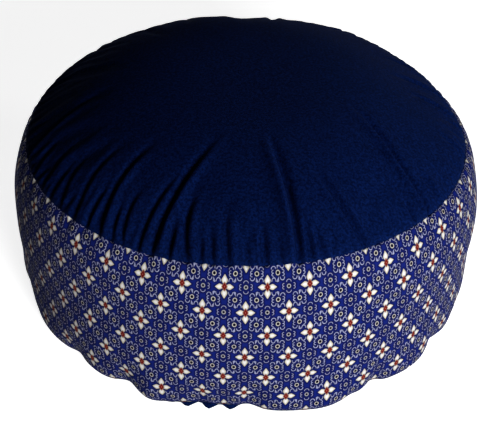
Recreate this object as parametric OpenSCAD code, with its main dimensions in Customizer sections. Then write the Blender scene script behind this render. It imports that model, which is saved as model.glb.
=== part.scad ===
// Round floor cushion: a zipped cover with a printed side band over a kapok-filled inner cushion.
// Millimetres. The origin is the middle of the base, +Z is up, the front faces -Y, the zip is at the back.

/* [Cover] */
// Largest diameter, at the girth of the side band
cushion_d = 360; // [300:5:420]
// Height of the girth above the floor
girth_z = 62; // [50:1:75]
// Diameter of the seam between the top panel and the band
top_seam_d = 340; // [330:1:350]
// Height of the top seam
top_seam_z = 134; // [120:1:150]
// Rise of the top panel above its seam
crown_h = 40; // [20:1:55]
// Diameter of the seam between the base panel and the band
base_seam_d = 348; // [340:1:354]
// Height of the base seam
base_seam_z = 6; // [4:1:10]
// Diameter of the flat that the cushion rests on
base_flat_d = 316; // [280:2:326]
// Thickness of the cover cloth
cloth_t = 1.2; // [0.8:0.1:1.6]
// Radius of the sewing thread
thread_r = 0.3; // [0.2:0.05:0.4]

/* [Zip] */
// Arc of the band taken by the zip facings
facing_angle = 104; // [80:2:120]
// Height of the middle of the zip
zip_z = 68; // [60:1:80]
// Distance between the folded edges of the two facings
facing_gap = 12; // [10.5:0.5:14]
// How far the facings draw in towards the zip
zip_dip = 3; // [2.5:0.1:4]
// Width of each tape
tape_w = 14; // [12:0.5:16]
// Thickness of the tape
tape_t = 0.6; // [0.4:0.1:0.6]
// Width of each coil
coil_w = 2.2; // [1.8:0.1:2.4]
// Height of the coils above the tape
coil_h = 2.2; // [1.8:0.1:2.3]
// Slot between the coils that the slider's neck passes through
coil_slot = 1.5; // [1.4:0.1:1.8]
// Length of the slider
slider_l = 12; // [10:0.5:13]
// Width of the slider's nose
slider_w = 9.6; // [9.4:0.1:10]
// Length of the pull from its pivot
pull_l = 26; // [18:1:28]
// Width of the pull
pull_w = 7.2; // [6.6:0.1:8]

/* [Inner cushion] */
// Room between the cover and the inner cushion at the side
side_ease = 7; // [6.5:0.5:10]
// Room between the cover and the inner cushion at the top
top_ease = 1.5; // [1:0.5:4]
// Thickness of the liner cloth
liner_t = 1; // [0.6:0.1:1.2]
// Number of hand stitches that close the liner
closing_stitches = 12; // [8:1:16]

/* [Hidden] */

cushion_r = cushion_d / 2;
top_seam_r = top_seam_d / 2;
base_seam_r = base_seam_d / 2;
base_flat_r = base_flat_d / 2;
back = 90;                                // direction of the middle of the zip
facing_start = back - facing_angle / 2;
skin = 0.1;                               // room between two cloths that lie on each other
steps = 20;                               // straight stretches in each curved outline

// Zip, measured outwards along the radius at zip_z
tape_outer_r = cushion_r - zip_dip - cloth_t - skin;
tape_inner_r = tape_outer_r - tape_t;
coil_inner_r = tape_outer_r + skin;
coil_outer_r = tape_outer_r + coil_h;
coil_angle = facing_angle - 10;
tape_angle = facing_angle - 1;
run_clear = 0.4;                          // running clearance of the slider
plate_t = 1.2;
lower_plate_r = tape_inner_r - run_clear - plate_t;
upper_plate_r = coil_outer_r + run_clear;
slider_top_r = upper_plate_r + plate_t;
neck_w = 0.8;
crown_bar_t = 1;
crown_bar_w = 1.6;
crown_open = 2.7;
crown_l = 8.2;
pull_t = 1.4;
pull_pivot_r = slider_top_r + crown_open / 2;
stop_gap = 2;                             // from the slider to a stop at each end of its travel
slider_half_angle = (slider_l / 2 + stop_gap) / tape_outer_r * 180 / PI;
slider_angle = back + coil_angle / 2 - slider_half_angle;
stop_angle = 1.2;

liner_seam_r = top_seam_r - 9;
liner_base_r = base_seam_r - 10;
cover_inset = cloth_t + side_ease;

// Height of the top panel's outer face at radius r
function crown_z(r) = top_seam_z + crown_h * (1 - pow(r / top_seam_r, 3.3));

// Height of the base panel's outer face at radius r
function base_z(r) = r < base_flat_r ? 0 :
    base_seam_z * pow((r - base_flat_r) / (base_seam_r - base_flat_r), 2);

// Radius of the side band at height z: a soft shoulder above the girth, a tighter turn below it
function band_r(z) = z > girth_z ?
    cushion_r - (cushion_r - top_seam_r) * pow((z - girth_z) / (top_seam_z - girth_z), 2.5) :
    cushion_r - (cushion_r - base_seam_r) * pow((girth_z - z) / (girth_z - base_seam_z), 4);

// Radius of the zip facings, which draw in towards the zip
function facing_r(z) = band_r(z) - zip_dip * exp(-pow((z - zip_z) / 18, 2));

function blend(a, b, i) = a + (b - a) * i / steps;
function reverse(points) = [for (i = [len(points) - 1 : -1 : 0]) points[i]];

// Outlines of the top, base, band and zip facings, moved in by the distance given
function crown_line(r_end, drop) =
    [for (i = [0 : steps]) let (r = blend(0, r_end, i)) [r, crown_z(r) - drop]];
function base_line(r_end, rise) =
    concat([[0, rise]],
           [for (i = [0 : steps]) let (r = blend(base_flat_r, r_end, i)) [r, base_z(r) + rise]]);
function band_line(z0, z1, inset) =
    [for (i = [0 : steps]) let (z = blend(z0, z1, i)) [band_r(z) - inset, z]];
function facing_line(z0, z1, inset) =
    [for (i = [0 : steps]) let (z = blend(z0, z1, i)) [facing_r(z) - inset, z]];

// A sheet of cloth turned about the cushion's axis, between two outlines
module cloth_turn(outer, inner, start = 0, sweep = 360) {
    rotate([0, 0, start])
        rotate_extrude(angle = sweep, $fn = 120)
            polygon(concat(outer, reverse(inner)));
}

// A thread that runs round the axis at radius r and height z
module thread_ring(r, z, start = 0, sweep = 360) {
    rotate([0, 0, start])
        rotate_extrude(angle = sweep, $fn = 120)
            translate([r, z])
                circle(r = thread_r, $fn = 16);
}

// A bar of rectangular section that follows the zip
module zip_arc(r0, r1, z0, z1, start, sweep) {
    rotate([0, 0, start])
        rotate_extrude(angle = sweep, $fn = 120)
            translate([r0, z0])
                square([r1 - r0, z1 - z0]);
}

// Stands a flat outline against the zip: its x runs along the zip, its y is up, its depth is outwards
module facing_out(r0, depth) {
    translate([r0, 0, zip_z])
        rotate([90, 0, 90])
            linear_extrude(depth)
                children();
}

module top_panel() {
    color("midnightblue")
        cloth_turn(crown_line(top_seam_r, 0), crown_line(top_seam_r, cloth_t));
}

module side_band_front() {
    low = base_seam_z + cloth_t;
    high = top_seam_z - cloth_t;
    color("royalblue")
        cloth_turn(band_line(low, high, 0), band_line(low, high, cloth_t),
                   facing_start + facing_angle, 360 - facing_angle);
}

module zip_facing(low, high) {
    color("royalblue")
        cloth_turn(facing_line(low, high, 0), facing_line(low, high, cloth_t), facing_start, facing_angle);
}

module zip_facing_upper() {
    zip_facing(zip_z + facing_gap / 2, top_seam_z - cloth_t);
}

module zip_facing_lower() {
    zip_facing(base_seam_z + cloth_t, zip_z - facing_gap / 2);
}

module base_panel() {
    color("midnightblue")
        cloth_turn(base_line(base_seam_r, 0), base_line(base_seam_r, cloth_t));
}

// The seams are sewn from inside, so their threads lie just within the band
module top_seam_stitching() {
    color("navy")
        thread_ring(top_seam_r - cloth_t - thread_r - skin, top_seam_z - cloth_t);
}

module base_seam_stitching() {
    color("navy")
        thread_ring(base_seam_r - cloth_t - 2 * thread_r - skin, base_seam_z + cloth_t + 2 * thread_r);
}

// One upright thread where each end of the zip facings joins the band
module side_seam_stitching() {
    low = base_seam_z + 3 * cloth_t;
    high = top_seam_z - 3 * cloth_t;
    inner_face = cloth_t + skin;
    thread_angle = 0.25;
    color("navy")
        for (side = [facing_start + facing_angle, facing_start - thread_angle])
            cloth_turn(band_line(low, high, inner_face), band_line(low, high, inner_face + 2 * thread_r),
                       side, thread_angle);
}

// Two rows that hold the tapes to the facings, seen from outside
module zip_facing_stitching() {
    row_z = facing_gap / 2 + 2.5;
    color("navy")
        for (z = [zip_z - row_z, zip_z + row_z])
            thread_ring(facing_r(z) + thread_r + skin, z, facing_start + 1, facing_angle - 2);
}

module zip_tape(low, high) {
    color("navy")
        cloth_turn(facing_line(low, high, cloth_t + skin), facing_line(low, high, cloth_t + skin + tape_t),
                   back - tape_angle / 2, tape_angle);
}

module zip_tape_upper() {
    zip_tape(zip_z + coil_slot / 2, zip_z + coil_slot / 2 + tape_w);
}

module zip_tape_lower() {
    zip_tape(zip_z - coil_slot / 2 - tape_w, zip_z - coil_slot / 2);
}

module zip_coil(low) {
    color("darkslateblue")
        zip_arc(coil_inner_r, coil_outer_r, low, low + coil_w, back - coil_angle / 2, coil_angle);
}

module zip_coil_upper() {
    zip_coil(zip_z + coil_slot / 2);
}

module zip_coil_lower() {
    zip_coil(zip_z - coil_slot / 2 - coil_w);
}

// One clamp on the end of each coil, so that the slider can't leave the closed end
module zip_stop_closed() {
    color("silver")
        for (low = [zip_z + coil_slot / 2, zip_z - coil_slot / 2 - coil_w])
            zip_arc(coil_inner_r, coil_outer_r, low, low + coil_w, back + coil_angle / 2, stop_angle);
}

// One clamp across both coils at the open end
module zip_stop_open() {
    half_w = coil_slot / 2 + coil_w;
    color("silver")
        zip_arc(coil_inner_r, coil_outer_r, zip_z - half_w, zip_z + half_w,
                back - coil_angle / 2 - stop_angle, stop_angle);
}

// Outline of the slider's plates, wide at the nose and narrow at the tail
module slider_outline() {
    nose = slider_w / 2;
    tail = nose - 0.6;
    half_l = slider_l / 2;
    polygon([[-half_l, 1 - tail], [-half_l, tail - 1], [1 - half_l, tail], [0, tail], [3, nose],
             [half_l - 1.5, nose], [half_l, nose - 1.5], [half_l, 1.5 - nose], [half_l - 1.5, -nose],
             [3, -nose], [0, -tail], [1 - half_l, -tail]]);
}

module zip_slider() {
    flange_r = tape_outer_r + run_clear;
    channel_w = 2 * (coil_slot / 2 + coil_w + run_clear);
    leg_w = 0.9;
    neck_y = slider_l / 2 - 3;
    neck_l = 2;
    color("silver")
        rotate([0, 0, slider_angle])
            union() {
                facing_out(lower_plate_r, plate_t)
                    slider_outline();
                facing_out(flange_r, slider_top_r - flange_r)
                    difference() {
                        slider_outline();
                        translate([-slider_l, -channel_w / 2])
                            square([2 * slider_l, channel_w]);
                    }
                facing_out(upper_plate_r, plate_t)
                    slider_outline();
                facing_out(lower_plate_r, slider_top_r - lower_plate_r)
                    translate([neck_y, -neck_w / 2])
                        square([neck_l, neck_w]);
                facing_out(slider_top_r + crown_open, crown_bar_t)
                    translate([-crown_l / 2, -crown_bar_w / 2])
                        square([crown_l, crown_bar_w]);
                facing_out(upper_plate_r, plate_t + crown_open + crown_bar_t)
                    for (y = [-crown_l / 2, crown_l / 2 - leg_w])
                        translate([y, -crown_bar_w / 2])
                            square([leg_w, crown_bar_w]);
            }
}

// The pull turns on its own cross bar, which passes under the slider's crown
module zip_pull() {
    bar_r = pull_t / 2;
    window_l = 4.5;
    window_w = pull_w - 2.6;
    grip_hole_r = 1.6;
    color("silver")
        rotate([0, 0, slider_angle])
            union() {
                facing_out(pull_pivot_r - bar_r, pull_t)
                    difference() {
                        union() {
                            translate([pull_w / 2 - pull_l, -pull_w / 2])
                                square([pull_l - pull_w / 2, pull_w]);
                            translate([pull_w / 2 - pull_l, 0])
                                circle(d = pull_w, $fn = 48);
                        }
                        translate([-bar_r - window_l, -window_w / 2])
                            square([window_l + 2 * bar_r, window_w]);
                        translate([pull_w / 2 - pull_l, 0])
                            circle(r = grip_hole_r, $fn = 32);
                    }
                translate([pull_pivot_r, 0, zip_z - pull_w / 2])
                    cylinder(h = pull_w, r = bar_r, $fn = 24);
            }
}

// Outlines of the inner cushion's top and base, stopping short of its seams by the distance given
function liner_top_line(drop, short = 0) = crown_line(liner_seam_r - short, cloth_t + top_ease + drop);
function liner_base_line(rise, short = 0) = base_line(liner_base_r - short, cloth_t + skin + rise);
liner_top_z = crown_z(liner_seam_r) - cloth_t - top_ease - liner_t;
liner_base_z = base_z(liner_base_r) + cloth_t + skin + liner_t;

module liner_top() {
    color("ivory")
        cloth_turn(liner_top_line(0), liner_top_line(liner_t));
}

module liner_side() {
    color("ivory")
        cloth_turn(band_line(liner_base_z, liner_top_z, cover_inset),
                   band_line(liner_base_z, liner_top_z, cover_inset + liner_t));
}

module liner_base() {
    color("ivory")
        cloth_turn(liner_base_line(0), liner_base_line(liner_t));
}

// Threads of the liner's top and base seams, just outside its side
module liner_seam_stitching() {
    thread_in = thread_r + skin;
    color("white") {
        thread_ring(band_r(liner_top_z - 2) - cover_inset + thread_in, liner_top_z - 2);
        thread_ring(band_r(liner_base_z + 2) - cover_inset + thread_in, liner_base_z + 2);
    }
}

// Hand stitches across the upright opening that the liner is filled through
module liner_closing_stitches() {
    first_z = 36;
    pitch = 5;
    stitch_angle = 1.8;
    color("white")
        for (i = [0 : closing_stitches - 1]) {
            z = first_z + i * pitch;
            thread_ring(band_r(z) - cover_inset + thread_r, z, back - stitch_angle / 2, stitch_angle);
        }
}

module filling() {
    slack = 0.5;
    corner = 3;
    inset = liner_t + slack;
    low = liner_base_z + slack;
    high = liner_top_z - slack;
    color("wheat")
        rotate_extrude($fn = 120)
            polygon(concat(liner_base_line(inset, corner), band_line(low, high, cover_inset + inset),
                           reverse(liner_top_line(inset, corner))));
}

top_panel();
side_band_front();
zip_facing_upper();
zip_facing_lower();
base_panel();
top_seam_stitching();
base_seam_stitching();
side_seam_stitching();
zip_facing_stitching();
zip_tape_upper();
zip_tape_lower();
zip_coil_upper();
zip_coil_lower();
zip_stop_closed();
zip_stop_open();
zip_slider();
zip_pull();
liner_top();
liner_side();
liner_base();
liner_seam_stitching();
liner_closing_stitches();
filling();
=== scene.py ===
"""Round floor cushion: crowned plain top, printed side band, zip across the back, kapok inner cushion.

Everything is in metres, in the CAD frame: origin at the middle of the base, +Z up, front towards -Y.
"""
import functools
import math

import bmesh
import bpy
import numpy as np
from mathutils import Matrix, Vector
from mathutils.kdtree import KDTree


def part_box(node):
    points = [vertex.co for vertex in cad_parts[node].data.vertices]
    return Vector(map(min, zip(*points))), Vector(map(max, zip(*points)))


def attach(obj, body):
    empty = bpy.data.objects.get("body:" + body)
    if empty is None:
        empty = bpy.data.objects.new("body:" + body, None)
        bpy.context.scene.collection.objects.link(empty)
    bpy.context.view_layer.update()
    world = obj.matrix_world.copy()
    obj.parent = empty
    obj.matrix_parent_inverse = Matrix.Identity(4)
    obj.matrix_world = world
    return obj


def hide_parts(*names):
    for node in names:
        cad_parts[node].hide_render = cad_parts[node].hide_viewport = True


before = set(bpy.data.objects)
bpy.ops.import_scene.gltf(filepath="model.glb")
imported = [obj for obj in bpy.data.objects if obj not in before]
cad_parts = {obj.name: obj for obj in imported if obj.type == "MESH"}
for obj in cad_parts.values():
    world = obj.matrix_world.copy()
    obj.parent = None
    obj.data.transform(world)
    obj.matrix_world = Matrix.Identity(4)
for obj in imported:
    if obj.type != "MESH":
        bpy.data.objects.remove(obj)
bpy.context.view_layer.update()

MM = 0.001
rng = np.random.default_rng(7)

# Sizes, from the CAD nodes' boxes
TOP_LO, TOP_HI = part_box("top_panel")
BAND_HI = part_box("side_band_front")[1]
BASE_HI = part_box("base_panel")[1]
SLIDER_LO, SLIDER_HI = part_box("zip_slider")
CLOTH = 1.2 * MM
GIRTH_R = BAND_HI.x
GIRTH_Z = 62 * MM
SEAM_R = TOP_HI.x
SEAM_Z = TOP_LO.z + CLOTH
CROWN = TOP_HI.z - SEAM_Z
BASE_R = BASE_HI.x
BASE_Z = BASE_HI.z - CLOTH
BASE_FLAT_R = 158 * MM
BAND_HEIGHT = SEAM_Z - BASE_Z
CROWN_POWER = 3.3
ZIP_Z = (SLIDER_LO.z + SLIDER_HI.z) / 2
ZIP_DIP = 3 * MM
ZIP_GAP = 12 * MM
# The edges of the zip opening, as shares of the way down the band
ZIP_EDGES = [(SEAM_Z - ZIP_Z + side * ZIP_GAP / 2) / BAND_HEIGHT for side in (-1, 1)]

# Directions round the cushion, in degrees from +X: the front is 270 and the zip is centred on 90
BACK = 90
HALF_FACING = 52
FACING_START = BACK - HALF_FACING
FACING_END = BACK + HALF_FACING

# The printed repeat
REPEATS = 38
REPEAT_W = 2 * math.pi * GIRTH_R / REPEATS
REPEAT_H = 38.2 * MM
FIRST_ROW = 15.5 * MM
PRINT_PHASE = 275

# Folds in the top panel. Each has its direction at the seam and at its inner end, where that end lies
# between the centre (0) and the seam (1), and its depth and width in mm. Some have the side that the ridge
# is on too (1 for the next directions up, -1 for the next ones down, 0 for both), and their bow in degrees
FOLDS = [
    (282.5, 282, 0.38, 6.2, 2.4, -1, 1.2), (320, 344, 0.42, 6.2, 2, -1, -4.8), (325, 328, 0.84, 3, 1.9),
    (314.5, 316.5, 0.88, 2.6, 1.9), (298.5, 294.5, 0.6, 2.4, 2, 0, 0.6), (285.3, 286, 0.84, 2.8, 1.9),
    (288.2, 287.5, 0.86, 2.4, 1.8), (291, 291.5, 0.92, 1.8, 1.8), (278.5, 277.5, 0.9, 2, 1.8),
    (274.5, 274, 0.84, 2.6, 2.2), (270.5, 270, 0.91, 2, 1.8), (266.5, 264.5, 0.78, 2.4, 2.1, 1, -0.8),
    (262.5, 260.5, 0.86, 2.6, 2), (259.6, 259, 0.91, 2.4, 1.8), (256.5, 254, 0.72, 3.6, 2.2, 1, -1.4),
    (252, 250.5, 0.84, 3, 2.2), (247.5, 254, 0.4, 3.8, 2.3, 1, -2.4), (244, 246, 0.64, 2.5, 2, 1, -1.5),
    (240, 237, 0.76, 2.2, 2.1, 1, -1.5), (236.5, 233.5, 0.85, 2.4, 2.1),
    (233, 228, 0.56, 3.2, 2.2, 1, -2), (229, 226.5, 0.82, 2.3, 2.1, 0, -0.6),
    (224.5, 218, 0.66, 2.3, 2.1, 1, -1.5), (219, 211, 0.78, 1.9, 2, 1, -1.2),
    (213.5, 210, 0.86, 1.9, 2.2), (209, 203, 0.76, 1.9, 2.3, 1, -1), (202, 196, 0.84, 1.8, 2.3),
    (194, 181, 0.64, 2.4, 2.2, 1, 0), (186, 183, 0.88, 1.4, 2.4), (346, 350, 0.84, 1.8, 2.6),
    (4, 9, 0.72, 1.8, 2.8, 0, 1), (16, 21, 0.7, 1.6, 3.2, 0, 1), (31, 35, 0.8, 1.4, 3),
    (60, 62, 0.84, 1.4, 3), (84, 82, 0.8, 1.6, 3), (112, 109, 0.84, 1.4, 3, 0, 0.8),
    (141, 143, 0.84, 1.4, 3), (164, 161, 0.86, 1.4, 3),
]

# Where the base seam is drawn in and up: direction, width in degrees and depth in mm
TUCKS = [
    (224.5, 3.5, 1.8), (240.8, 3.2, 2.2), (260, 3.6, 2), (266, 3.2, 1.8), (271.3, 3, 2.4),
    (296.5, 2, 0.5), (303, 2.6, 2.2), (324.5, 3.5, 1.9), (338, 5, 0.8), (352, 5, 2), (11, 4, 2.2),
    (28, 3.5, 1.8), (52, 4, 2.2), (75, 4, 1.8), (98, 4.5, 2.2), (121, 4, 1.8), (143, 4, 2.2),
    (162, 4, 1.8), (180, 4, 2.2), (199, 6, 1.8),
]

# Where the band swells out over the base seam: direction, width in degrees and amount in mm
SWELLS = [
    (213, 6, 0.8), (233, 4, 0.8), (248, 4, 3.4), (280, 5, 1.4), (289, 7, 4.4), (314, 6, 2.3),
    (8, 9, 1.5), (40, 8, 1.5), (66, 8, 2), (110, 9, 1.5), (152, 8, 2), (188, 7, 1),
]

# Where the base cloth stands out below its seam: direction, width in degrees and amount in mm
PUFFS = [
    (252.5, 1.6, 3), (256.8, 1.7, 6.2), (261.8, 1.7, 7.2), (267, 1.7, 6.2), (243, 3, 2), (226, 4, 1.5),
    (20, 6, 2), (130, 7, 2),
]

# Where the top seam dips and rises, where it is drawn in, and where the foot of the band is
SEAM_DIPS = [(20, 27, -4), (135, 45, 3), (185, 26, -2.5)]
SEAM_DRAWN_IN = [(14, 34, 4.8), (172, 30, -1)]
FOOT_DRAWN_IN = [(196, 26, 1.2), (350, 24, 3.6)]

# Small gathers along the top seam, on the top panel and the band, spread round the cushion with a fixed
# seed
GATHERS = [
    (float(angle + rng.uniform(-1.6, 1.6)), float(rng.uniform(0.6, 1.7)), float(rng.uniform(7, 26)))
    for angle in np.arange(0, 360, 4.0)
]


# ---- shape of the cover

def bell(distance, width):
    """A soft bell: 1 at distance 0, small beyond width."""
    return np.exp(-(distance / width) ** 2)


def turn(a, b):
    """The angle from b to a in degrees, between -180 and 180."""
    return (a - b + 180) % 360 - 180


def smoothstep(x):
    x = np.clip(x, 0, 1)
    return x * x * (3 - 2 * x)


def crown_z(rho):
    return SEAM_Z + CROWN * (1 - rho ** CROWN_POWER)


def band_r(z):
    above = np.clip((z - GIRTH_Z) / (SEAM_Z - GIRTH_Z), 0, None)
    below = np.clip((GIRTH_Z - z) / (GIRTH_Z - BASE_Z), 0, None)
    return GIRTH_R - (GIRTH_R - SEAM_R) * above ** 2.5 - (GIRTH_R - BASE_R) * below ** 4


def zip_dip(theta, z):
    """How far the band draws in towards the zip."""
    window = smoothstep((HALF_FACING - np.abs(turn(theta, BACK))) / 4 + 1)
    return ZIP_DIP * bell(z - ZIP_Z, 18 * MM) * window


def lumps(theta, height):
    """Slow unevenness of hand-packed filling, between about -1 and 1."""
    a = np.radians(theta)
    return (0.45 * np.cos(3 * a + 0.7 + 2.1 * height) + 0.35 * np.cos(5 * a - 1.1 - 2.9 * height)
            + 0.3 * np.cos(8 * a + 2.4 + 4.5 * height))


def bells_round(theta, rows):
    """The sum of bells round the cushion, in metres, from rows of direction, width and amount."""
    total = np.zeros_like(theta)
    for angle, width, amount in rows:
        total += amount * bell(turn(theta, angle), width)
    return total * MM


def seam_lift(theta):
    """The top seam isn't level: it dips at the back right, rises at the back left, and wavers."""
    a = np.radians(theta)
    waves = 3.0 * np.cos(a) + 0.5 * np.cos(5 * a + 1) + 0.35 * np.cos(9 * a + 2)
    return waves * MM + bells_round(theta, SEAM_DIPS)


def seam_draw(theta):
    """How far the top seam is drawn in on the right, and stands out on the left."""
    return bells_round(theta, SEAM_DRAWN_IN)


def fold_depth(theta, rho):
    """Depth of the folds and gathers that run in from the top seam, in metres, beside their soft ridges."""
    depth = np.zeros_like(theta)
    for seam_angle, inner_angle, reach, deep, width, *rest in FOLDS:
        side, bow = rest or (0, 0)
        along = np.clip((rho - reach) / (1 - reach), 0, 1)
        centre = inner_angle + turn(seam_angle, inner_angle) * along + bow * np.sin(math.pi * along)
        across = np.radians(turn(theta, centre)) * rho * SEAM_R / MM
        strength = deep * smoothstep(along * 1.8) * (along > 0)
        if side:
            ridge = bell(across - side * 2.2 * width, 1.5 * width)
        else:
            ridge = bell(np.abs(across) - 2 * width, width)
        depth += strength * (bell(across, width) - 0.5 * ridge)
    for angle, deep, length in GATHERS:
        along = np.clip(1 - (1 - rho) * SEAM_R / MM / length, 0, 1)
        across = np.radians(turn(theta, angle)) * rho * SEAM_R / MM
        depth += deep * smoothstep(along) * (bell(across, 2.0) - 0.35 * bell(np.abs(across) - 4.2, 2.2))
    return depth * MM


def place_top(theta, rho, crisp=1.0):
    """Points of the top panel: theta in degrees, rho from 0 at the centre to 1 at the seam."""
    a = np.radians(theta)
    r = SEAM_R * rho
    r = r - seam_draw(theta) * rho ** 3
    z = crown_z(rho) + seam_lift(theta) * rho ** 3
    # the right shoulder is packed less full than the left
    z -= 5.0 * MM * np.clip(np.cos(a - 0.35), 0, 1) * bell(rho - 0.78, 0.22)
    z += 1.2 * MM * lumps(theta, rho) * rho ** 2 * (1 - rho ** 6)
    # a shallow hollow at the back of the crown
    z -= 1.6 * MM * bell(turn(theta, 92), 5) * smoothstep((rho - 0.5) / 0.4)
    groove = bell((1 - rho) * SEAM_R, 3.2 * MM) * crisp
    sink = fold_depth(theta, rho) * (1 - 0.55 * groove) * crisp
    tilt = np.arctan(CROWN_POWER * CROWN * rho ** (CROWN_POWER - 1) / SEAM_R)
    r = r - sink * np.sin(tilt) - 1.0 * MM * groove
    z = z - sink * np.cos(tilt) - 0.9 * MM * groove
    return np.stack([r * np.cos(a), r * np.sin(a), z], axis=-1)


def place_band(theta, t, crisp=1.0):
    """Points of the side band: t is 0 at the top seam and 1 at the base seam."""
    a = np.radians(theta)
    z = SEAM_Z - BAND_HEIGHT * t
    r = band_r(z) - zip_dip(theta, z) * crisp
    from_top = t * BAND_HEIGHT
    from_base = (1 - t) * BAND_HEIGHT
    quiet = 1 - (smoothstep(1.5 - np.abs(z - ZIP_Z) / (14 * MM))
                 * smoothstep((58 - np.abs(turn(theta, BACK))) / 5))
    r += 1.3 * MM * lumps(theta, 3 * t) * np.sin(math.pi * t) * quiet
    for angle, deep, length in GATHERS:
        near = smoothstep(1 - from_top / MM / (0.9 * length + 6))
        r -= 0.75 * deep * MM * near * bell(np.radians(turn(theta, angle)) * r / MM, 3.0) * crisp
    r = r - seam_draw(theta) * (1 - t) ** 2.5
    tucks = bells_round(theta, TUCKS)
    swells = bells_round(theta, SWELLS)
    r = r - bells_round(theta, FOOT_DRAWN_IN) * smoothstep((t - 0.3) / 0.5)
    rising = bell(from_base, 26 * MM)
    r += (2.4 * MM + swells - 1.5 * tucks) * bell(from_base, 20 * MM) * quiet
    z = z + seam_lift(theta) * (1 - t) ** 2 + (0.9 * tucks - 0.35 * swells - 0.4 * MM) * rising
    groove = (bell(from_top, 2.6 * MM) + 0.8 * bell(from_base, 2.6 * MM)) * crisp
    r -= 1.0 * MM * groove
    z -= 0.9 * MM * bell(from_top, 2.6 * MM) * crisp
    return np.stack([r * np.cos(a), r * np.sin(a), z], axis=-1)


def place_base(theta, rho, crisp=1.0):
    """Points of the base panel: rho is 0 at the centre and 1 at the base seam."""
    a = np.radians(theta)
    rim = place_band(theta, np.ones_like(theta), crisp)
    rim_r = np.hypot(rim[..., 0], rim[..., 1])
    flat = BASE_FLAT_R - 1.2 * bells_round(theta, TUCKS)
    r = rim_r * rho
    rise = np.clip((r - flat) / (rim_r - flat), 0, 1)
    puff = (0.5 * MM + bells_round(theta, PUFFS)) * np.sin(math.pi * rise ** 1.6)
    r = r + puff
    return np.stack([r * np.cos(a), r * np.sin(a), rim[..., 2] * rise ** 2], axis=-1)


# ---- mesh helpers

# Columns round the fine and the coarse net, and a number past the last of their rows
FINE = 720
COARSE = 360
ALL_ROWS = 1000


def link(name, data):
    obj = bpy.data.objects.new(name, data)
    bpy.context.scene.collection.objects.link(obj)
    return obj


def new_object(name, points, faces, smooth=True):
    mesh = bpy.data.meshes.new(name)
    mesh.from_pydata([tuple(p) for p in points], [], [tuple(f) for f in faces])
    mesh.validate()
    mesh.update()
    if smooth:
        mesh.shade_smooth()
    return link(name, mesh)


class Cover:
    """The whole cover as one closed net: rings of the top, rows of the band and rings of the base."""

    def __init__(self, columns, top_step, base_step, band_rows, crisp=1.0):
        self.columns = columns
        self.theta, self.t, self.part = [], [], []
        self.faces, self.face_facts = [], []
        self.top_rim = row = self.add_disc("top", SEAM_R, top_step, rim=None)
        heights = self.band_heights(band_rows)
        for i, t in enumerate(heights[1:], 1):
            ring = self.add_ring("band", columns, t)
            self.bridge(row, ring, "band", i - 1)
            row = ring
        self.base_rim = self.add_disc("base", BASE_R, base_step, rim=row)
        self.theta = np.array(self.theta)
        self.t = np.array(self.t)
        self.part = np.array(self.part)
        self.points = self.shape(crisp)

    def band_heights(self, rows):
        """Rows of the band, from the seam down, with rows exactly on the two edges of the zip opening."""
        upper, lower = ZIP_EDGES
        self.upper_rows, self.gap_rows, lower_rows = rows
        return np.concatenate([np.linspace(0, upper, self.upper_rows + 1),
                               np.linspace(upper, lower, self.gap_rows + 1)[1:],
                               np.linspace(lower, 1, lower_rows + 1)[1:]])

    def add_ring(self, part, count, t):
        first = len(self.theta)
        self.theta += [360 * i / count for i in range(count)]
        self.t += [t] * count
        self.part += [part] * count
        return list(range(first, first + count))

    def add_face(self, corners, part, row, angle):
        self.faces.append(corners[::-1] if part == "top" else corners)
        self.face_facts.append((part, row, angle))

    def bridge(self, outer, inner, part, row):
        """Faces between two rings, halving the number of points where the inner ring has half as many."""
        n, m = len(outer), len(inner)
        for i in range(m):
            j = (i + 1) % m
            if n == m:
                quads = [(outer[i], inner[i], inner[j], outer[j])]
            else:
                a, b, c = outer[2 * i], outer[2 * i + 1], outer[(2 * i + 2) % n]
                quads = [(a, inner[i], b), (b, inner[i], inner[j]), (b, inner[j], c)]
            for quad in quads:
                self.add_face(quad, part, row, 360 * (i + 0.5) / m)

    def add_disc(self, part, radius, step, rim):
        """Rings from the rim inwards and a point at the centre; returns the rim."""
        if rim is None:
            rim = self.add_ring(part, self.columns, 1.0)
        rings = int(radius / step)
        outer, count = rim, self.columns
        for k in range(1, rings):
            rho = 1 - k / rings
            if 2 * math.pi * rho * radius / count < 0.4 * step and count % 2 == 0:
                count //= 2
            ring = self.add_ring(part, count, rho)
            self.bridge(outer, ring, part, k)
            outer = ring
        centre = self.add_ring(part, 1, 0.0)[0]
        for i in range(count):
            self.add_face((outer[i], centre, outer[(i + 1) % count]), part, rings, 360 * (i + 0.5) / count)
        return rim

    def shape(self, crisp):
        """Every point in its place; crisp scales the folds, the gathers, the grooves at the seams and the
        dip towards the zip.
        """
        points = np.zeros((len(self.theta), 3))
        for part, place in (("top", place_top), ("band", place_band), ("base", place_base)):
            pick = self.part == part
            points[pick] = place(self.theta[pick], self.t[pick], crisp)
        return points

    def pick(self, part, angles=(0, 360), rows=(0, ALL_ROWS)):
        """The faces of one panel: those of a part whose direction and row are within limits."""
        start, end = angles
        return [k for k, (on, row, angle) in enumerate(self.face_facts)
                if on == part and rows[0] <= row < rows[1] and (angle - start) % 360 < end - start]

    def cut(self, name, faces, coordinates):
        """A panel as an object of its own, with its cloth coordinates as UVs."""
        used = sorted({v for k in faces for v in self.faces[k]})
        index = {v: i for i, v in enumerate(used)}
        obj = new_object(name, self.points[used], [[index[v] for v in self.faces[k]] for k in faces])
        layer = obj.data.uv_layers.new(name="cloth")
        uv = [coordinates(self, k, v) for k in faces for v in self.faces[k]]
        layer.data.foreach_set("uv", np.array(uv).ravel())
        return obj


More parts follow.
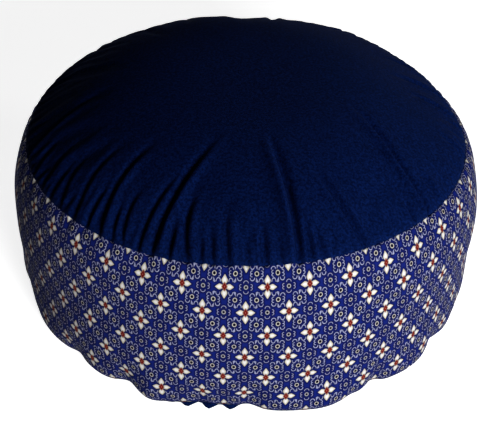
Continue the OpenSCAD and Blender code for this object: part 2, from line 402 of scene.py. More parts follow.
def print_coordinates(cover, face, vertex):
    """Repeats of the print: across from the star in front, down from the first row of stars."""
    middle = cover.face_facts[face][2]
    angle = turn(middle, PRINT_PHASE) + turn(cover.theta[vertex], middle)
    t = cover.t[vertex] if cover.part[vertex] == "band" else 0.0
    return angle / 360 * REPEATS, (FIRST_ROW - band_length(t)) / REPEAT_H


def flat_coordinates(cover, face, vertex):
    return cover.points[vertex][0], cover.points[vertex][1]


BAND_T = np.linspace(0, 1, 200)
BAND_Z = SEAM_Z - BAND_HEIGHT * BAND_T
BAND_S = np.concatenate([[0], np.cumsum(np.hypot(np.diff(band_r(BAND_Z)), np.diff(BAND_Z)))])


def band_length(t):
    """Distance down the cloth of the band from the top seam."""
    return float(np.interp(t, BAND_T, BAND_S))


def hold_weights(net):
    """Which points the stuffed cushion holds still: the base, the seams and the cloth beside the zip."""
    near_zip = (np.abs(turn(net.theta, BACK)) < 54) & (np.abs(net.points[:, 2] - ZIP_Z) < 14 * MM)
    still = (net.part == "base") | ((net.part == "band") & (near_zip | (net.t > 0.97)))
    return np.where(still, 1.0, np.where((net.part == "top") & (net.t == 1.0), 0.9, 0.0))


# The stuffed cover as cloth, how many frames it is given, and how far it may move
CLOTH_SETTINGS = {
    "quality": 6, "mass": 0.25, "tension_stiffness": 25, "compression_stiffness": 12, "shear_stiffness": 8,
    "bending_stiffness": 0.6, "vertex_group_mass": "hold", "use_pressure": True,
    "uniform_pressure_force": 3.0, "shrink_min": -0.012,
}
SETTLED_BY = 16
FURTHEST = 1.7 * MM


def inflate():
    """Blows up a coarse copy of the cover as cloth; returns its net and how far each point moves."""
    net = Cover(COARSE, top_step=3.4 * MM, base_step=6 * MM, band_rows=(22, 4, 20))
    obj = new_object("cover_cloth", net.points, net.faces)
    hold = obj.vertex_groups.new(name="hold")
    for i, weight in enumerate(hold_weights(net)):
        if weight:
            hold.add([i], weight, "REPLACE")
    cloth = obj.modifiers.new("Cloth", "CLOTH")
    for key, value in CLOTH_SETTINGS.items():
        setattr(cloth.settings, key, value)
    cloth.settings.effector_weights.gravity = 0
    cloth.collision_settings.use_collision = False
    cloth.point_cache.frame_start = 1
    cloth.point_cache.frame_end = SETTLED_BY
    scene = bpy.context.scene
    for number in range(1, SETTLED_BY + 1):
        scene.frame_set(number)
    mesh = obj.evaluated_get(bpy.context.evaluated_depsgraph_get()).to_mesh()
    settled = np.zeros(len(mesh.vertices) * 3)
    mesh.vertices.foreach_get("co", settled)
    move = settled.reshape(-1, 3) - net.points
    bpy.data.objects.remove(obj)
    scene.frame_set(1)
    return net, move


def settle(cover):
    """Moves the fine net as the coarse one moves when it is inflated, up to a limit."""
    net, move = inflate()
    length = np.linalg.norm(move, axis=1, keepdims=True)
    move *= FURTHEST * np.tanh(length / FURTHEST) / np.maximum(length, 1e-9)
    tree = KDTree(len(net.points))
    for i, point in enumerate(net.points):
        tree.insert(point, i)
    tree.balance()
    near = [tree.find_n(point, 4) for point in cover.points]
    index = np.array([[hit[1] for hit in hits] for hits in near])
    weight = 1 / (np.array([[hit[2] for hit in hits] for hits in near]) + 0.2 * MM) ** 2
    weight /= weight.sum(axis=1, keepdims=True)
    cover.points = cover.points + (move[index] * weight[:, :, None]).sum(axis=1)
    cover.points[:, 2] = np.maximum(cover.points[:, 2], 0)


# ---- materials

class Num:
    """A number that varies over a surface. Arithmetic on it adds Math nodes to the material."""

    def __init__(self, tree, socket):
        self.tree, self.socket = tree, socket

    def op(self, kind, *others, clamp=False):
        node = self.tree.nodes.new("ShaderNodeMath")
        node.operation = kind
        node.use_clamp = clamp
        for socket, value in zip(node.inputs, (self, *others)):
            if isinstance(value, Num):
                self.tree.links.new(value.socket, socket)
            else:
                socket.default_value = value
        return Num(self.tree, node.outputs[0])

    def __add__(self, other):
        return self.op("ADD", other)

    def __sub__(self, other):
        return self.op("SUBTRACT", other)

    def __rsub__(self, other):
        return (self * -1.0) + other

    def __mul__(self, other):
        return self.op("MULTIPLY", other)

    def __truediv__(self, other):
        return self.op("DIVIDE", other)

    def __abs__(self):
        return self.op("ABSOLUTE")

    __radd__ = __add__
    __rmul__ = __mul__

    def low(self, other):
        return self.op("MINIMUM", other)

    def high(self, other):
        return self.op("MAXIMUM", other)

    def root(self):
        return self.op("SQRT")

    def limited(self):
        """The number held between 0 and 1."""
        return self.op("ADD", 0.0, clamp=True)

    def wave(self, pitch):
        """A wave between -1 and 1 that repeats at this pitch."""
        return (self * (2 * math.pi / pitch)).op("SINE")

    def inside(self, soft):
        """1 where the distance is below zero and 0 above it, with an edge this soft."""
        return (0.5 - self / soft).limited()


def either(*distances):
    """The union of several shapes, from the distances to them."""
    return functools.reduce(Num.low, distances)


class Finish:
    """A material on the Principled shader, with short calls for what this object's materials need."""

    def __init__(self, name, roughness, **constants):
        self.material = bpy.data.materials.new(name)
        self.material.use_nodes = True
        self.tree = self.material.node_tree
        self.shader = self.tree.nodes["Principled BSDF"]
        self.shader.inputs["Roughness"].default_value = roughness
        for socket, value in constants.items():
            self.feed(self.shader, socket.replace("_", " "), value)
        self.place = self.node("ShaderNodeTexCoord").outputs["Object"]

    def node(self, kind, **settings):
        node = self.tree.nodes.new(kind)
        for key, value in settings.items():
            setattr(node, key, value)
        return node

    def feed(self, node, socket, value):
        """Links a value to a socket, or sets a constant on it; a colour has three numbers."""
        value = getattr(value, "socket", value)
        if isinstance(value, tuple):
            value = (*value, 1.0)
        if isinstance(value, bpy.types.NodeSocket):
            self.tree.links.new(value, node.inputs[socket])
        else:
            node.inputs[socket].default_value = value

    def parts(self, vector):
        split = self.node("ShaderNodeSeparateXYZ")
        self.tree.links.new(vector, split.inputs[0])
        return [Num(self.tree, out) for out in split.outputs]

    def noise(self, scale, detail, rough):
        node = self.node("ShaderNodeTexNoise")
        for socket, value in (("Vector", self.place), ("Scale", scale), ("Detail", detail),
                              ("Roughness", rough)):
            self.feed(node, socket, value)
        return Num(self.tree, node.outputs["Fac"])

    def mix(self, factor, a, b):
        node = self.node("ShaderNodeMix", data_type="RGBA")
        self.feed(node, 0, factor)
        self.feed(node, 6, a)
        self.feed(node, 7, b)
        return node.outputs[2]

    def colour(self, value):
        self.feed(self.shader, "Base Color", value)

    def rough(self, value):
        self.feed(self.shader, "Roughness", value)

    def cotton_face(self, weave, slub, roughness):
        """What the two cottons share: the weave and its slubs, in the bump and in the roughness."""
        self.rough(slub * 0.16 + roughness)
        self.relief(weave * 0.6 + slub * 0.5, 0.12 * MM, 0.5)

    def relief(self, height, distance, strength=1.0):
        """Bump of this height field, whose range 0 to 1 stands for a depth in metres."""
        node = self.node("ShaderNodeBump")
        for socket, value in (("Strength", strength), ("Distance", distance), ("Height", height)):
            self.feed(node, socket, value)
        self.tree.links.new(node.outputs[0], self.shader.inputs["Normal"])


def plain_weave(u, v, pitch):
    """Height of a plain weave, from cloth coordinates in metres and the pitch of its threads."""
    return (u.wave(2 * pitch) * v.wave(2 * pitch)) * 0.5 + 0.5


def navy_cotton():
    """Piece-dyed plain-weave cotton: deep navy, a little uneven, with the soft sheen of a napped face
    painted in as lighter flecks on the slubs.
    """
    finish = Finish("navy_cotton", 0.85, Specular_IOR_Level=0.02, Sheen_Weight=0.01, Sheen_Roughness=0.4,
                    Sheen_Tint=(0.25, 0.4, 1.0))
    x, y, _ = finish.parts(finish.place)
    weave = plain_weave(x, y, 0.55 * MM)
    slub = finish.noise(560, 3, 0.75)
    cloudy = finish.noise(14, 3, 0.55)
    deep = finish.mix(cloudy, (0.0005, 0.0036, 0.022), (0.0010, 0.0058, 0.034))
    # painted sheen: the navy is lighter where the slubs stand up, for the glint of the nap
    painted_sheen = ((slub - 0.39) * 3.8).limited()
    finish.colour(finish.mix(painted_sheen, deep, (0.0034, 0.0145, 0.078)))
    finish.cotton_face(weave, slub, 0.76)
    return finish.material


def petal(across, along, start, tip, widest, half_width):
    """Distance to a leaf: a rounded body next to the heart, drawn out to a point."""
    rise = ((along - start) / (widest - start)).limited()
    body = (rise * (2.0 - rise)).root() * half_width
    fall = ((tip - along) / (tip - widest)).limited()
    taper = fall.op("POWER", 0.85) * half_width
    past = (start - along).high(along - tip)
    return (across - body.low(taper)).high(past)


def disc(x, y, centre, radii):
    """Distance to an ellipse, near enough for one that is almost round."""
    dx = (x - centre[0]) / radii[0]
    dy = (y - centre[1]) / radii[1]
    return ((dx * dx + dy * dy).root() - 1.0) * ((radii[0] + radii[1]) / 2)


def stroke(x, y, centre, radii, half_width):
    """Distance to a line drawn round an ellipse."""
    return abs(disc(x, y, centre, radii)) - half_width


def printed_cotton():
    """Cotton printed with a centred repeat of four-petalled stars among small ringed florets."""
    finish = Finish("printed_cotton", 0.8, Specular_IOR_Level=0.04, Sheen_Weight=0.01, Sheen_Roughness=0.45,
                    Sheen_Tint=(0.75, 0.75, 1.0))
    u, v, _ = finish.parts(finish.node("ShaderNodeUVMap", uv_map="cloth").outputs[0])

    # Fold the cloth onto one quarter of the repeat, then onto the half of it nearest to a star: x and y
    # are distances from that star, in millimetres
    wide, high = REPEAT_W / MM, REPEAT_H / MM
    fold_x = abs((u + 0.5).op("FRACT") - 0.5)
    fold_y = abs((v + 0.5).op("FRACT") - 0.5)
    far = (fold_x + fold_y).op("GREATER_THAN", 0.5)
    near_x = fold_x + far * (0.5 - 2.0 * fold_x)
    near_y = fold_y + far * (0.5 - 2.0 * fold_y)
    x, y = near_x * wide, near_y * high
    ring_at = (wide / 4, high / 4)

    star = either(petal(x, y, 2.1, 8.8, 5.1, 2.2), petal(y, x, 1.1, 6.6, 3.9, 2.2))
    heart = x / 1.05 + y / 1.8 - 1.55
    rim = x / 1.05 + y / 1.8 - 2.1
    spark = x / 0.45 + y / 0.8 - 1.0
    chevron = stroke(x, y, (4.4, 3.9), (1.45, 2.5), 0.36).high(3.7 - y)
    wedge = abs(x - ring_at[0] - (y - 5.1) * 0.25) - ((7.0 - y) * 0.3).low((y - 3.2) * 1.5)
    ring = disc(x, y, ring_at, (1.6, 1.85))
    dot = disc(x, y, ring_at, (1.0, 1.15))
    brace = either(*(stroke(x, y, (4.15, ring_at[1] + rise), (1.05, 1.05), 0.3)
                     for rise in (1.05, -1.05))).high(x - 4.45)
    near_curl = stroke(x, y, (4.4, 12.6), (1.5, 1.8), 0.33).high(12.3 - y)
    far_curl = stroke(x, y, (wide / 2 - 4.4, high / 2 - 12.6), (1.5, 1.8), 0.33).high(y - high / 2 + 12.3)
    lines = either(chevron, wedge, brace, near_curl, far_curl)

    florets = ((wide / 2, 0.0), (0.0, high / 2))
    dim_ring = either(*(disc(x, y, floret, (1.55, 1.7)) for floret in florets))
    dim_dot = either(*(disc(x, y, floret, (0.8, 0.9)) for floret in florets))
    dim_brace = stroke(x, y, (wide / 2 - 3.4, 1.05), (1.0, 1.05), 0.28).high(x - wide / 2 + 3.2)
    dim_arch = stroke(x, y, (0.0, high / 2 - 3.2), (1.6, 1.6), 0.3).high(y - high / 2 + 3.0)
    dim_lines = either(dim_brace, dim_arch)

    soft = 0.35
    shade = either(star, lines, ring, dim_ring, dim_lines)
    uneven = finish.noise(45, 3, 0.6)
    inked = 0.35 + finish.noise(420, 2, 0.6)
    ground = finish.mix(uneven, (0.006, 0.0125, 0.105), (0.009, 0.019, 0.16))
    # painted shadow: the ground turns deep navy for about 2 mm round every motif
    cloth = finish.mix((shade - 0.75).inside(1.5) * 0.9, ground, (0.002, 0.002, 0.022))
    petals = finish.mix((star + 0.9).inside(1.0), (0.4, 0.365, 0.3), (0.62, 0.615, 0.605))
    black = (0.006, 0.005, 0.01)
    for share, ink in (
        (dim_lines.inside(soft) * 0.85, (0.25, 0.25, 0.39)),
        (dim_ring.inside(soft) * 0.9, (0.29, 0.28, 0.3)),
        (dim_dot.inside(soft), black),
        (lines.inside(soft) * inked, (0.27, 0.28, 0.43)),
        (ring.inside(soft), (0.38, 0.36, 0.33)),
        (dot.inside(soft), black),
        (star.inside(soft), petals),
        (rim.inside(0.5), (0.26, 0.12, 0.07)),
        (heart.inside(0.4), (0.12, 0.004, 0.008)),
        (spark.inside(0.6), (0.3, 0.1, 0.06)),
    ):
        cloth = finish.mix(share, cloth, ink)
    finish.colour(cloth)

    weave = plain_weave(u * REPEAT_W, v * REPEAT_H, 0.5 * MM)
    finish.cotton_face(weave, finish.noise(1100, 2, 0.6), 0.72)
    return finish.material


def sewing_thread(name, colour):
    """Twisted thread: fine diagonal ply lines along each stitch, with painted shade in the grooves between
    them.
    """
    finish = Finish(name, 0.55, Sheen_Weight=0.3)
    x, y, z = finish.parts(finish.place)
    ply = (x + y + z * 1.7).wave(0.35 * MM) * 0.5 + 0.5
    # painted shade: the thread is darker in the grooves between the plies, where the bump is lowest
    finish.colour(finish.mix(ply, tuple(0.6 * c for c in colour), colour))
    finish.relief(ply, 0.08 * MM, 0.8)
    return finish.material


def zip_tape_cloth():
    """Woven zip tape: a close herringbone rib along its length, with painted shade between the ribs."""
    finish = Finish("zip_tape", 0.7, Sheen_Weight=0.2)
    x, y, z = finish.parts(finish.place)
    along = x.op("ARCTAN2", y) * GIRTH_R
    zigzag = abs((z / (3.0 * MM)).op("FRACT") - 0.5) * (3.0 * MM)
    rib = (along + zigzag).wave(0.7 * MM) * 0.5 + 0.5
    # painted shade: the tape is darker navy between the ribs, where the bump is lowest
    finish.colour(finish.mix(rib, (0.004, 0.006, 0.035), (0.012, 0.018, 0.09)))
    finish.relief(rib, 0.15 * MM, 0.7)
    return finish.material


def nylon():
    """Dyed nylon monofilament: smooth and slightly translucent-looking, with faint draw lines."""
    finish = Finish("nylon_coil", 0.32, Coat_Weight=0.25, Coat_Roughness=0.2)
    streak = finish.noise(1500, 1, 0.4)
    finish.colour(finish.mix(streak, (0.008, 0.011, 0.06), (0.016, 0.022, 0.11)))
    finish.rough(0.25 + streak * 0.2)
    return finish.material


def nickel():
    """Plated zinc casting: bright, with tumbling marks, and duller and yellower in patches of wear."""
    finish = Finish("nickel", 0.28, Metallic=1.0)
    wear = finish.noise(260, 4, 0.65)
    fine = finish.noise(2600, 2, 0.5)
    worn = ((wear - 0.52) * 6.0).limited()
    finish.colour(finish.mix(worn, (0.66, 0.64, 0.6), (0.5, 0.44, 0.34)))
    finish.rough(0.2 + worn * 0.2 + fine * 0.12)
    finish.relief(fine * 0.5 + wear * 0.5, 0.05 * MM, 0.35)
    return finish.material


def calico():
    """Unbleached calico: cream, with darker seed flecks and an open plain weave."""
    finish = Finish("calico", 0.85, Sheen_Weight=0.15)
    x, y, z = finish.parts(finish.place)
    around = x.op("ARCTAN2", y) * GIRTH_R
    weave = plain_weave(around, z + (x * x + y * y).root(), 0.8 * MM)
    flecks = ((finish.noise(700, 2, 0.5) - 0.68) * 14.0).limited()
    cloudy = finish.noise(18, 3, 0.5)
    cloth = finish.mix(cloudy, (0.66, 0.6, 0.48), (0.76, 0.71, 0.6))
    finish.colour(finish.mix(flecks, cloth, (0.3, 0.22, 0.13)))
    finish.relief(weave, 0.2 * MM, 0.6)
    return finish.material


def kapok():
    """Loose silky fibre: pale straw, matted in tufts, with painted shade in the hollows between them."""
    finish = Finish("kapok", 0.6, Sheen_Weight=0.6, Sheen_Roughness=0.3)
    tufts = finish.noise(60, 6, 0.7)
    strands = finish.noise(700, 3, 0.6)
    # painted shade: the straw is darker and browner where the tufts are low
    finish.colour(finish.mix(tufts, (0.55, 0.45, 0.28), (0.85, 0.78, 0.6)))
    finish.relief(tufts * 0.7 + strands * 0.3, 2.5 * MM, 0.8)
    return finish.material


def studio_white(name, near_glow, far_glow):
    """Matt white that glows, by one amount near the cushion and another further off."""
    finish = Finish(name, 0.95, Specular_IOR_Level=0.0, Emission_Color=(1, 1, 1))
    x, y, _ = finish.parts(finish.place)
    reach = (((x * x + y * y).root() - 0.45) / 0.9).limited()
    finish.feed(finish.shader, "Emission Strength", reach * (far_glow - near_glow) + near_glow)
    grain = finish.noise(40, 2, 0.5)
    finish.colour(finish.mix(grain, (0.87, 0.87, 0.87), (0.89, 0.89, 0.89)))
    return finish.material


# ---- the cover's panels

NAVY = navy_cotton()
PRINT = printed_cotton()
THREAD = sewing_thread("navy_thread", (0.02, 0.03, 0.16))
WHITE_THREAD = sewing_thread("white_thread", (0.8, 0.77, 0.7))
TAPE = zip_tape_cloth()
NYLON = nylon()
NICKEL = nickel()
CALICO = calico()
KAPOK = kapok()


def finish_piece(obj, material, node, body="cushion"):
    """Gives a piece its material and its body, and hides the CAD node that it stands for."""
    obj.data.materials.clear()
    obj.data.materials.append(material)
    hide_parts(node)
    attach(obj, body)


def thicken(obj, thickness):
    """Gives cloth its real thickness, inwards from its outer face."""
    solid = obj.modifiers.new("Thickness", "SOLIDIFY")
    solid.thickness = thickness
    solid.offset = -1
    return obj


def make_cover(cover):
    upper = cover.upper_rows
    lower = cover.upper_rows + cover.gap_rows
    back = (FACING_START, FACING_END)
    front = (FACING_END, FACING_START + 360)
    plain = (flat_coordinates, NAVY, "navy_cloth")
    printed = (print_coordinates, PRINT, "printed_cloth")
    for name, faces, (coordinates, material, slot) in (
        ("top_panel", cover.pick("top"), plain),
        ("side_band_front", cover.pick("band", front), printed),
        ("zip_facing_upper", cover.pick("band", back, (0, upper)), printed),
        ("zip_facing_lower", cover.pick("band", back, (lower, ALL_ROWS)), printed),
        ("base_panel", cover.pick("base"), plain),
    ):
        obj = thicken(cover.cut(name + "_cloth", faces, coordinates), CLOTH)
        finish_piece(obj, material, name)


# ---- cloth as it was cut

SEAM_ALLOWANCE = 8 * MM


def crown_length():
    """Distance over the crown from its middle to the top seam."""
    rho = np.linspace(0, 1, 200)
    return float(np.sum(np.hypot(np.diff(rho * SEAM_R), np.diff(crown_z(rho)))))


def cut_as_disc(radius):
    """Works out the width across a disc of this radius with its seam allowance round it, and the disc's
    area; neither is kept.
    """
    across = 2 * (radius + SEAM_ALLOWANCE)
    math.pi * across ** 2 / 4


def say_how_cloth_was_cut():
    cut_as_disc(crown_length())
    cut_as_disc(BASE_FLAT_R + math.hypot(BASE_R - BASE_FLAT_R, BASE_Z))
    inwards = INNER_ROOM["band"]
    cut_as_disc(crown_length() - inwards)
    cut_as_disc(BASE_R - inwards)


# ---- inner cushion

LINER = 1.0 * MM
INNER_ROOM = {"top": 9.5 * MM, "band": 8.0 * MM, "base": 1.3 * MM}


def inner_net(extra, unevenness):
    """The cover's net without its folds, moved in by the room round the inner cushion and a little more."""
    net = Cover(COARSE // 2, top_step=7 * MM, base_step=8 * MM, band_rows=(12, 2, 10), crisp=0.0)
    probe = new_object("probe", net.points, net.faces)
    normals = np.array([v.normal for v in probe.data.vertices])
    bpy.data.objects.remove(probe)
    room = np.array([INNER_ROOM[part] for part in net.part]) + extra
    near_rim = (net.part == "base") * smoothstep((net.t - 0.88) / 0.12)
    room += near_rim * (INNER_ROOM["band"] - INNER_ROOM["base"])
    a = np.radians(net.theta)
    level = net.points[:, 2] / SEAM_Z
    waves = (np.sin(9 * a + 5 * level) + np.sin(17 * a - 9 * level + 1)
             + np.sin(31 * a + 4 * level + 2)) / 3
    quiet = np.where(net.part == "base", 0.0, 1.0)
    net.points = net.points - normals * (room + unevenness * (1 + waves) / 2 * quiet)[:, None]
    net.points[:, 2] = np.maximum(net.points[:, 2], CLOTH + 0.1 * MM + extra)
    return net


def make_inner_cushion():
    liner = inner_net(0.0, 0.6 * MM)
    for node, part in (("liner_top", "top"), ("liner_side", "band"), ("liner_base", "base")):
        obj = thicken(liner.cut(node + "_cloth", liner.pick(part), flat_coordinates), LINER)
        finish_piece(obj, CALICO, node)
    packed = inner_net(LINER + 0.4 * MM, 2.4 * MM)
    filling = new_object("kapok_filling", packed.points, packed.faces)
    finish_piece(filling, KAPOK, "filling")
    return liner


# ---- stitches

def tube(path, radii, sides=6, up=(0, 0, 1)):
    """Points and faces of a closed tube along a path."""
    path = np.array(path, float)
    ahead = np.gradient(path, axis=0)
    ahead /= np.linalg.norm(ahead, axis=1, keepdims=True)
    side = np.cross(ahead, np.array(up, float))
    side /= np.linalg.norm(side, axis=1, keepdims=True)
    over = np.cross(side, ahead)
    angles = np.linspace(0, 2 * math.pi, sides, endpoint=False)
    spokes = (np.cos(angles)[None, :, None] * side[:, None, :]
              + np.sin(angles)[None, :, None] * over[:, None, :])
    rings = path[:, None, :] + np.array(radii)[:, None, None] * spokes
    points = [tuple(p) for p in rings.reshape(-1, 3)]
    faces = []
    for i in range(len(path) - 1):
        for j in range(sides):
            k = (j + 1) % sides
            faces.append((i * sides + j, i * sides + k, (i + 1) * sides + k, (i + 1) * sides + j))
    faces.append(tuple(range(sides))[::-1])
    faces.append(tuple((len(path) - 1) * sides + j for j in range(sides)))
    return points, faces


class Gathered:
    """Collects many small closed shapes into one piece."""

    def __init__(self):
        self.points, self.faces = [], []

    def add(self, points, faces):
        first = len(self.points)
        self.points += points
        self.faces += [tuple(first + v for v in face) for face in faces]

    def finish(self, name, material, node, slot):
        finish_piece(new_object(name, self.points, self.faces), material, node)


def add_stitch(row, start, end, outward, radius):
    """One stitch: a short thread whose two ends dive into the cloth."""
    start, end, outward = (np.array(v, float) for v in (start, end, outward))
    steps = np.linspace(-1, 1, 7)
    middle, half = (start + end) / 2, (end - start) / 2
    path = [middle + half * s - outward * (1.6 * radius * s ** 4) for s in steps]
    row.add(*tube(path, radius * (1 - 0.35 * steps ** 4), up=outward))


def polar(theta, r, z):
    a = math.radians(theta)
    return np.array([r * math.cos(a), r * math.sin(a), z])


def moved_in(point, inwards, drop=0.0):
    """The point moved towards the axis and down."""
    share = 1 - inwards / math.hypot(point[0], point[1])
    return np.array([point[0] * share, point[1] * share, point[2] - drop])


def ring_point(ring, theta, inwards, drop):
    """A point at this direction on a ring of points, moved towards the axis and down."""
    place = theta % 360 / 360 * len(ring)
    i = int(place) % len(ring)
    return moved_in(ring[i] + (ring[(i + 1) % len(ring)] - ring[i]) * (place - int(place)), inwards, drop)


def stitch_round(row, at, length, gap, radius, start=0.0, sweep=360.0):
    """A row of stitches round the cushion, where at gives the place for a direction."""
    count = int(math.radians(sweep) * SEAM_R / (length + gap))
    for i in range(count):
        a = start + sweep * i / count
        b = a + math.degrees(length / SEAM_R)
        add_stitch(row, at(a), at(b), polar((a + b) / 2, 1, 0), radius)


def stitch_up(row, at, low, high, length, gap, radius, outward):
    """An upright row of stitches, where at gives the place for a height."""
    for z in np.arange(low, high - length, length + gap):
        add_stitch(row, at(z), at(z + length), outward, radius)


def band_point(theta, z, inwards):
    """A point of the side band at this height, moved towards the axis."""
    share = (SEAM_Z - z) / BAND_HEIGHT
    return moved_in(place_band(np.array([float(theta)]), np.array([share]))[0], inwards)


def make_stitching(cover, liner):
    thread = 0.26 * MM
    allowance = CLOTH + 2.6 * MM
    for name, rim, drop in (("top_seam", cover.top_rim, 3.0 * MM),
                            ("base_seam", cover.base_rim, -2.6 * MM)):
        ring = cover.points[rim]
        row = Gathered()
        stitch_round(row, lambda a: ring_point(ring, a, allowance, drop), 2.4 * MM, 0.5 * MM, thread)
        row.finish(name + "_thread", THREAD, name + "_stitching", "thread")
    sides = Gathered()
    for theta in (FACING_START, FACING_END):
        stitch_up(sides, lambda z: band_point(theta, z, allowance), BASE_Z + 8 * MM, SEAM_Z - 10 * MM,
                  2.4 * MM, 0.6 * MM, thread, polar(theta, 1, 0))
    sides.finish("side_seam_thread", THREAD, "side_seam_stitching", "thread")
    rows = Gathered()
    for z in (ZIP_Z - ZIP_GAP / 2 - 2.5 * MM, ZIP_Z + ZIP_GAP / 2 + 2.5 * MM):
        stitch_round(rows, lambda a: band_point(a, z, -0.2 * MM), 2.7 * MM, 0.7 * MM, thread,
                     FACING_START + 1, FACING_END - FACING_START - 2)
    rows.finish("zip_facing_thread", THREAD, "zip_facing_stitching", "thread")
    liner_rows = Gathered()
    for rim, drop in ((liner.top_rim, 2.5 * MM), (liner.base_rim, -2.5 * MM)):
        ring = liner.points[rim]
        stitch_round(liner_rows, lambda a: ring_point(ring, a, LINER + 1.2 * MM, drop), 2.6 * MM,
                     0.8 * MM, thread)
    liner_rows.finish("liner_seam_thread", WHITE_THREAD, "liner_seam_stitching", "liner_thread")
    closing = Gathered()
    lo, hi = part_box("liner_closing_stitches")
    slant, lean, count = 1.2 * MM, 0.9, 12
    for z in np.linspace(lo.z + slant, hi.z - slant, count):
        r = float(band_r(z)) - INNER_ROOM["band"] + 0.2 * MM
        add_stitch(closing, polar(BACK - lean, r, z - slant), polar(BACK + lean, r, z + slant),
                   polar(BACK, 1, 0), 0.32 * MM)
    closing.finish("liner_closing_thread", WHITE_THREAD, "liner_closing_stitches", "liner_thread")


# ---- zip

def node_arc(node):
    """Radii of a CAD node's inner and outer faces, and the directions where it starts and ends."""
    points = [v.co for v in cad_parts[node].data.vertices]
    radii = [math.hypot(p.x, p.y) for p in points]
    angles = [math.degrees(math.atan2(p.y, p.x)) for p in points]
    return min(radii), max(radii), min(angles), max(angles)


def make_coil(name, node, side, shift):
    """One nylon coil: a flattened helix along the zip whose turns reach between those of the other coil."""
    lo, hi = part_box(node)
    inner, outer, start, end = node_arc(node)
    wire = 0.31 * MM
    pitch = 1.3 * MM
    crossing = 0.32 * MM
    per_turn = 14
    turns = int(math.radians(end - start) * outer / pitch) - 1
    near, far = ZIP_Z - side * crossing, (hi.z if side > 0 else lo.z) - side * wire
    middle_r, half_r = (outer + inner) / 2, (outer - inner) / 2 - wire
    path, radii = [], []
    for i in range(turns * per_turn + 1):
        phase = 2 * math.pi * i / per_turn
        along = start + (end - start) * (i / per_turn + 0.5 + shift) / (turns + 1.5)
        across = (1 - math.cos(phase)) / 2
        path.append(polar(along, middle_r + half_r * math.sin(phase), far + (near - far) * across))
        radii.append(wire * (1 + 0.12 * across ** 3))
    coil = Gathered()
    coil.add(*tube(path, radii, sides=6, up=(0.3, 0.2, 1)))
    coil.finish(name, NYLON, node, "zip_coil")


def make_tape(name, node, side):
    """A woven tape behind the facing. It runs beside the coil, and meets the other tape past the stops."""
    lo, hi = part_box(node)
    _, outer, start, end = node_arc(node)
    coil_start, coil_end = node_arc("zip_stop_open")[2], node_arc("zip_stop_closed")[3]
    beside, meeting, wide = 0.72 * MM, 0.04 * MM, hi.z - lo.z - 0.5 * MM
    tucked = 2.0
    steps, across = 260, 9
    points, faces = [], []
    for i in range(steps + 1):
        theta = start - tucked + (end - start + 2 * tucked) * i / steps
        past = smoothstep(max(coil_start - theta, theta - coil_end) / 1.2)
        near = meeting + (beside - meeting) * (1 - float(past))
        sunk = 1.2 * MM * float(smoothstep((abs(theta - BACK) - 51.2) / 1.4))
        for j in range(across + 1):
            share = j / across
            ripple = 0.07 * MM * math.sin(theta * 2.3 + 5 * share) * math.sin(math.pi * share)
            rolled = 0.06 * MM * (1 - min(1.0, j / 2))
            points.append(polar(theta, outer - 0.08 * MM + ripple + rolled - sunk,
                                ZIP_Z + side * (near + wide * share)))
    for i in range(steps):
        for j in range(across):
            a = i * (across + 1) + j
            quad = (a, a + 1, a + across + 2, a + across + 1)
            faces.append(quad if side < 0 else quad[::-1])
    finish_piece(thicken(new_object(name, points, faces), 0.55 * MM), TAPE, node)


def make_casting(name, node, body):
    """A zinc casting: the CAD node's form with its edges rounded."""
    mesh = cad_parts[node].data.copy()
    mesh.name = name
    obj = link(name, mesh)
    work = bmesh.new()
    work.from_mesh(mesh)
    bmesh.ops.remove_doubles(work, verts=work.verts, dist=0.002 * MM)
    bmesh.ops.dissolve_limit(work, angle_limit=math.radians(3), verts=work.verts, edges=work.edges)
    work.to_mesh(mesh)
    work.free()
    bevel = obj.modifiers.new("Edges", "BEVEL")
    bevel.width = 0.25 * MM
    bevel.segments = 3
    bevel.limit_method = "ANGLE"
    bevel.angle_limit = math.radians(35)
    mesh.shade_smooth()
    finish_piece(obj, NICKEL, node, body)


def make_zip():
    for half, side, shift in (("upper", 1, 0.0), ("lower", -1, 0.5)):
        make_coil(f"zip_coil_{half}_nylon", f"zip_coil_{half}", side, shift)
    for body in ("slider", "pull"):
        make_casting(f"zip_{body}_cast", f"zip_{body}", body)
    for half, side in (("upper", 1), ("lower", -1)):
        make_tape(f"zip_tape_{half}_woven", f"zip_tape_{half}", side)
    # the stops keep the CAD's shape, and get a better material
    for stop in ("zip_stop_closed", "zip_stop_open"):
        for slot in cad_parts[stop].material_slots:
            slot.material = NICKEL


# ---- studio

# Lamps: name, direction and elevation in degrees, distance and size in metres, watts, and what they light
LAMPS = [
    ("key", 293, 15, 2.1, 0.8, 49, "all"), ("right", 354, 14, 2.0, 0.5, 6, "all"),
    ("crown_lamp", 356, 13, 2.0, 0.5, 11, "top"), ("crown_back_lamp", 64, 24, 2.2, 0.9, 9, "top"),
    ("left", 226, 4, 2.2, 0.9, 2.6, "around"), ("back", 97, 14, 2.2, 0.9, 42, "around"),
]

# Half the floor's width, which is the round backdrop's radius, and the backdrop's height
ROOM = 3.2
WALL_HEIGHT = 2.4


def wall(sides=96):
    """A round backdrop standing on the floor."""
    points = [polar(360 * i / sides, ROOM, z) for i in range(sides) for z in (-0.01, WALL_HEIGHT)]
    faces = [(2 * i, (2 * i + 2) % (2 * sides), (2 * i + 3) % (2 * sides), 2 * i + 1) for i in range(sides)]
    return new_object("backdrop", points, faces)


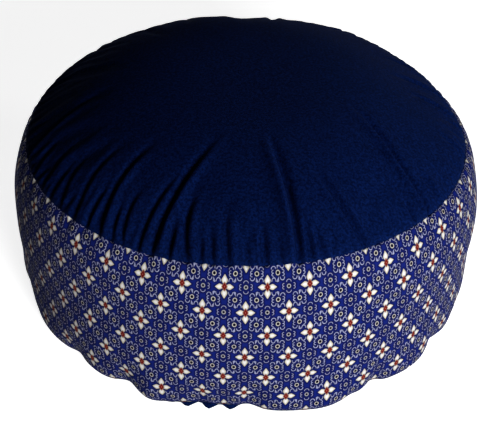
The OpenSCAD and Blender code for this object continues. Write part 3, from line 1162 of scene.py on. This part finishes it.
def make_studio():
    """A pale floor and backdrop, a low key at the front right, and weaker lamps round the cushion."""
    corners = [(-ROOM, -ROOM, 0), (ROOM, -ROOM, 0), (ROOM, ROOM, 0), (-ROOM, ROOM, 0)]
    floor = new_object("floor", corners, [(0, 1, 2, 3)], smooth=False)
    floor.location.z = -0.0003
    floor.data.materials.append(studio_white("pale_floor", 0.7, 0.76))
    backdrop = wall()
    backdrop.data.materials.append(studio_white("pale_backdrop", 0.8, 0.8))
    # the lamps alone light the cushion, so that it keeps the strong shading of the photograph
    floor.visible_diffuse = backdrop.visible_diffuse = backdrop.visible_glossy = False
    world = bpy.data.worlds.new("studio")
    bpy.context.scene.world = world
    world.use_nodes = True
    background = world.node_tree.nodes["Background"]
    background.inputs["Color"].default_value = (1, 1, 1, 1)
    background.inputs["Strength"].default_value = 0.03
    middle = Vector((0, 0, SEAM_Z / 2))
    for name, azimuth, elevation, distance, size, power, _ in LAMPS:
        data = bpy.data.lights.new(name, "AREA")
        data.shape, data.size, data.energy = "DISK", size, power
        light = link(name, data)
        e = math.radians(elevation)
        light.location = Vector(polar(azimuth, distance * math.cos(e), distance * math.sin(e))) + middle
        light.rotation_euler = (middle - light.location).to_track_quat("-Z", "Y").to_euler()
        light.visible_camera = False


def aim_lamps():
    """Two lamps bring out the plain top, and those at the left and the back only light what is round it."""
    top = bpy.data.objects["top_panel_cloth"]
    around = [obj for obj in bpy.context.scene.objects
              if obj.type == "MESH" and obj is not top and obj.name not in ("floor", "backdrop")]
    for name, *_, what in LAMPS:
        if what != "all":
            lit = bpy.data.collections.new(name + "_lit")
            for piece in [top] if what == "top" else around:
                lit.objects.link(piece)
            bpy.data.objects[name].light_linking.receiver_collection = lit


def make_camera():
    """Stands in front at 37 degrees above the floor, at the distance where the round shows as it should."""
    elevation = math.radians(37)
    distance = 6.03 * GIRTH_R
    aim = Vector((0.014 * GIRTH_R, 0, 0.275 * GIRTH_R))
    data = bpy.data.cameras.new("camera")
    data.sensor_width = 36
    data.lens = 97
    data.clip_start = 0.01
    camera = link("camera", data)
    away = Vector((0, -math.cos(elevation), math.sin(elevation)))
    camera.location = aim + away * distance
    roll = Matrix.Rotation(math.radians(1.15), 4, "Z")
    camera.matrix_world = (Matrix.Translation(camera.location)
                           @ (-away).to_track_quat("-Z", "Y").to_matrix().to_4x4() @ roll)
    bpy.context.scene.camera = camera


make_camera()
make_studio()
bpy.context.scene.view_settings.view_transform = "Standard"
bpy.context.scene.view_settings.look = "Medium High Contrast"
cover = Cover(FINE, top_step=2.6 * MM, base_step=5 * MM, band_rows=(26, 5, 24))
settle(cover)
make_cover(cover)
make_stitching(cover, make_inner_cushion())
make_zip()
say_how_cloth_was_cut()
aim_lamps()
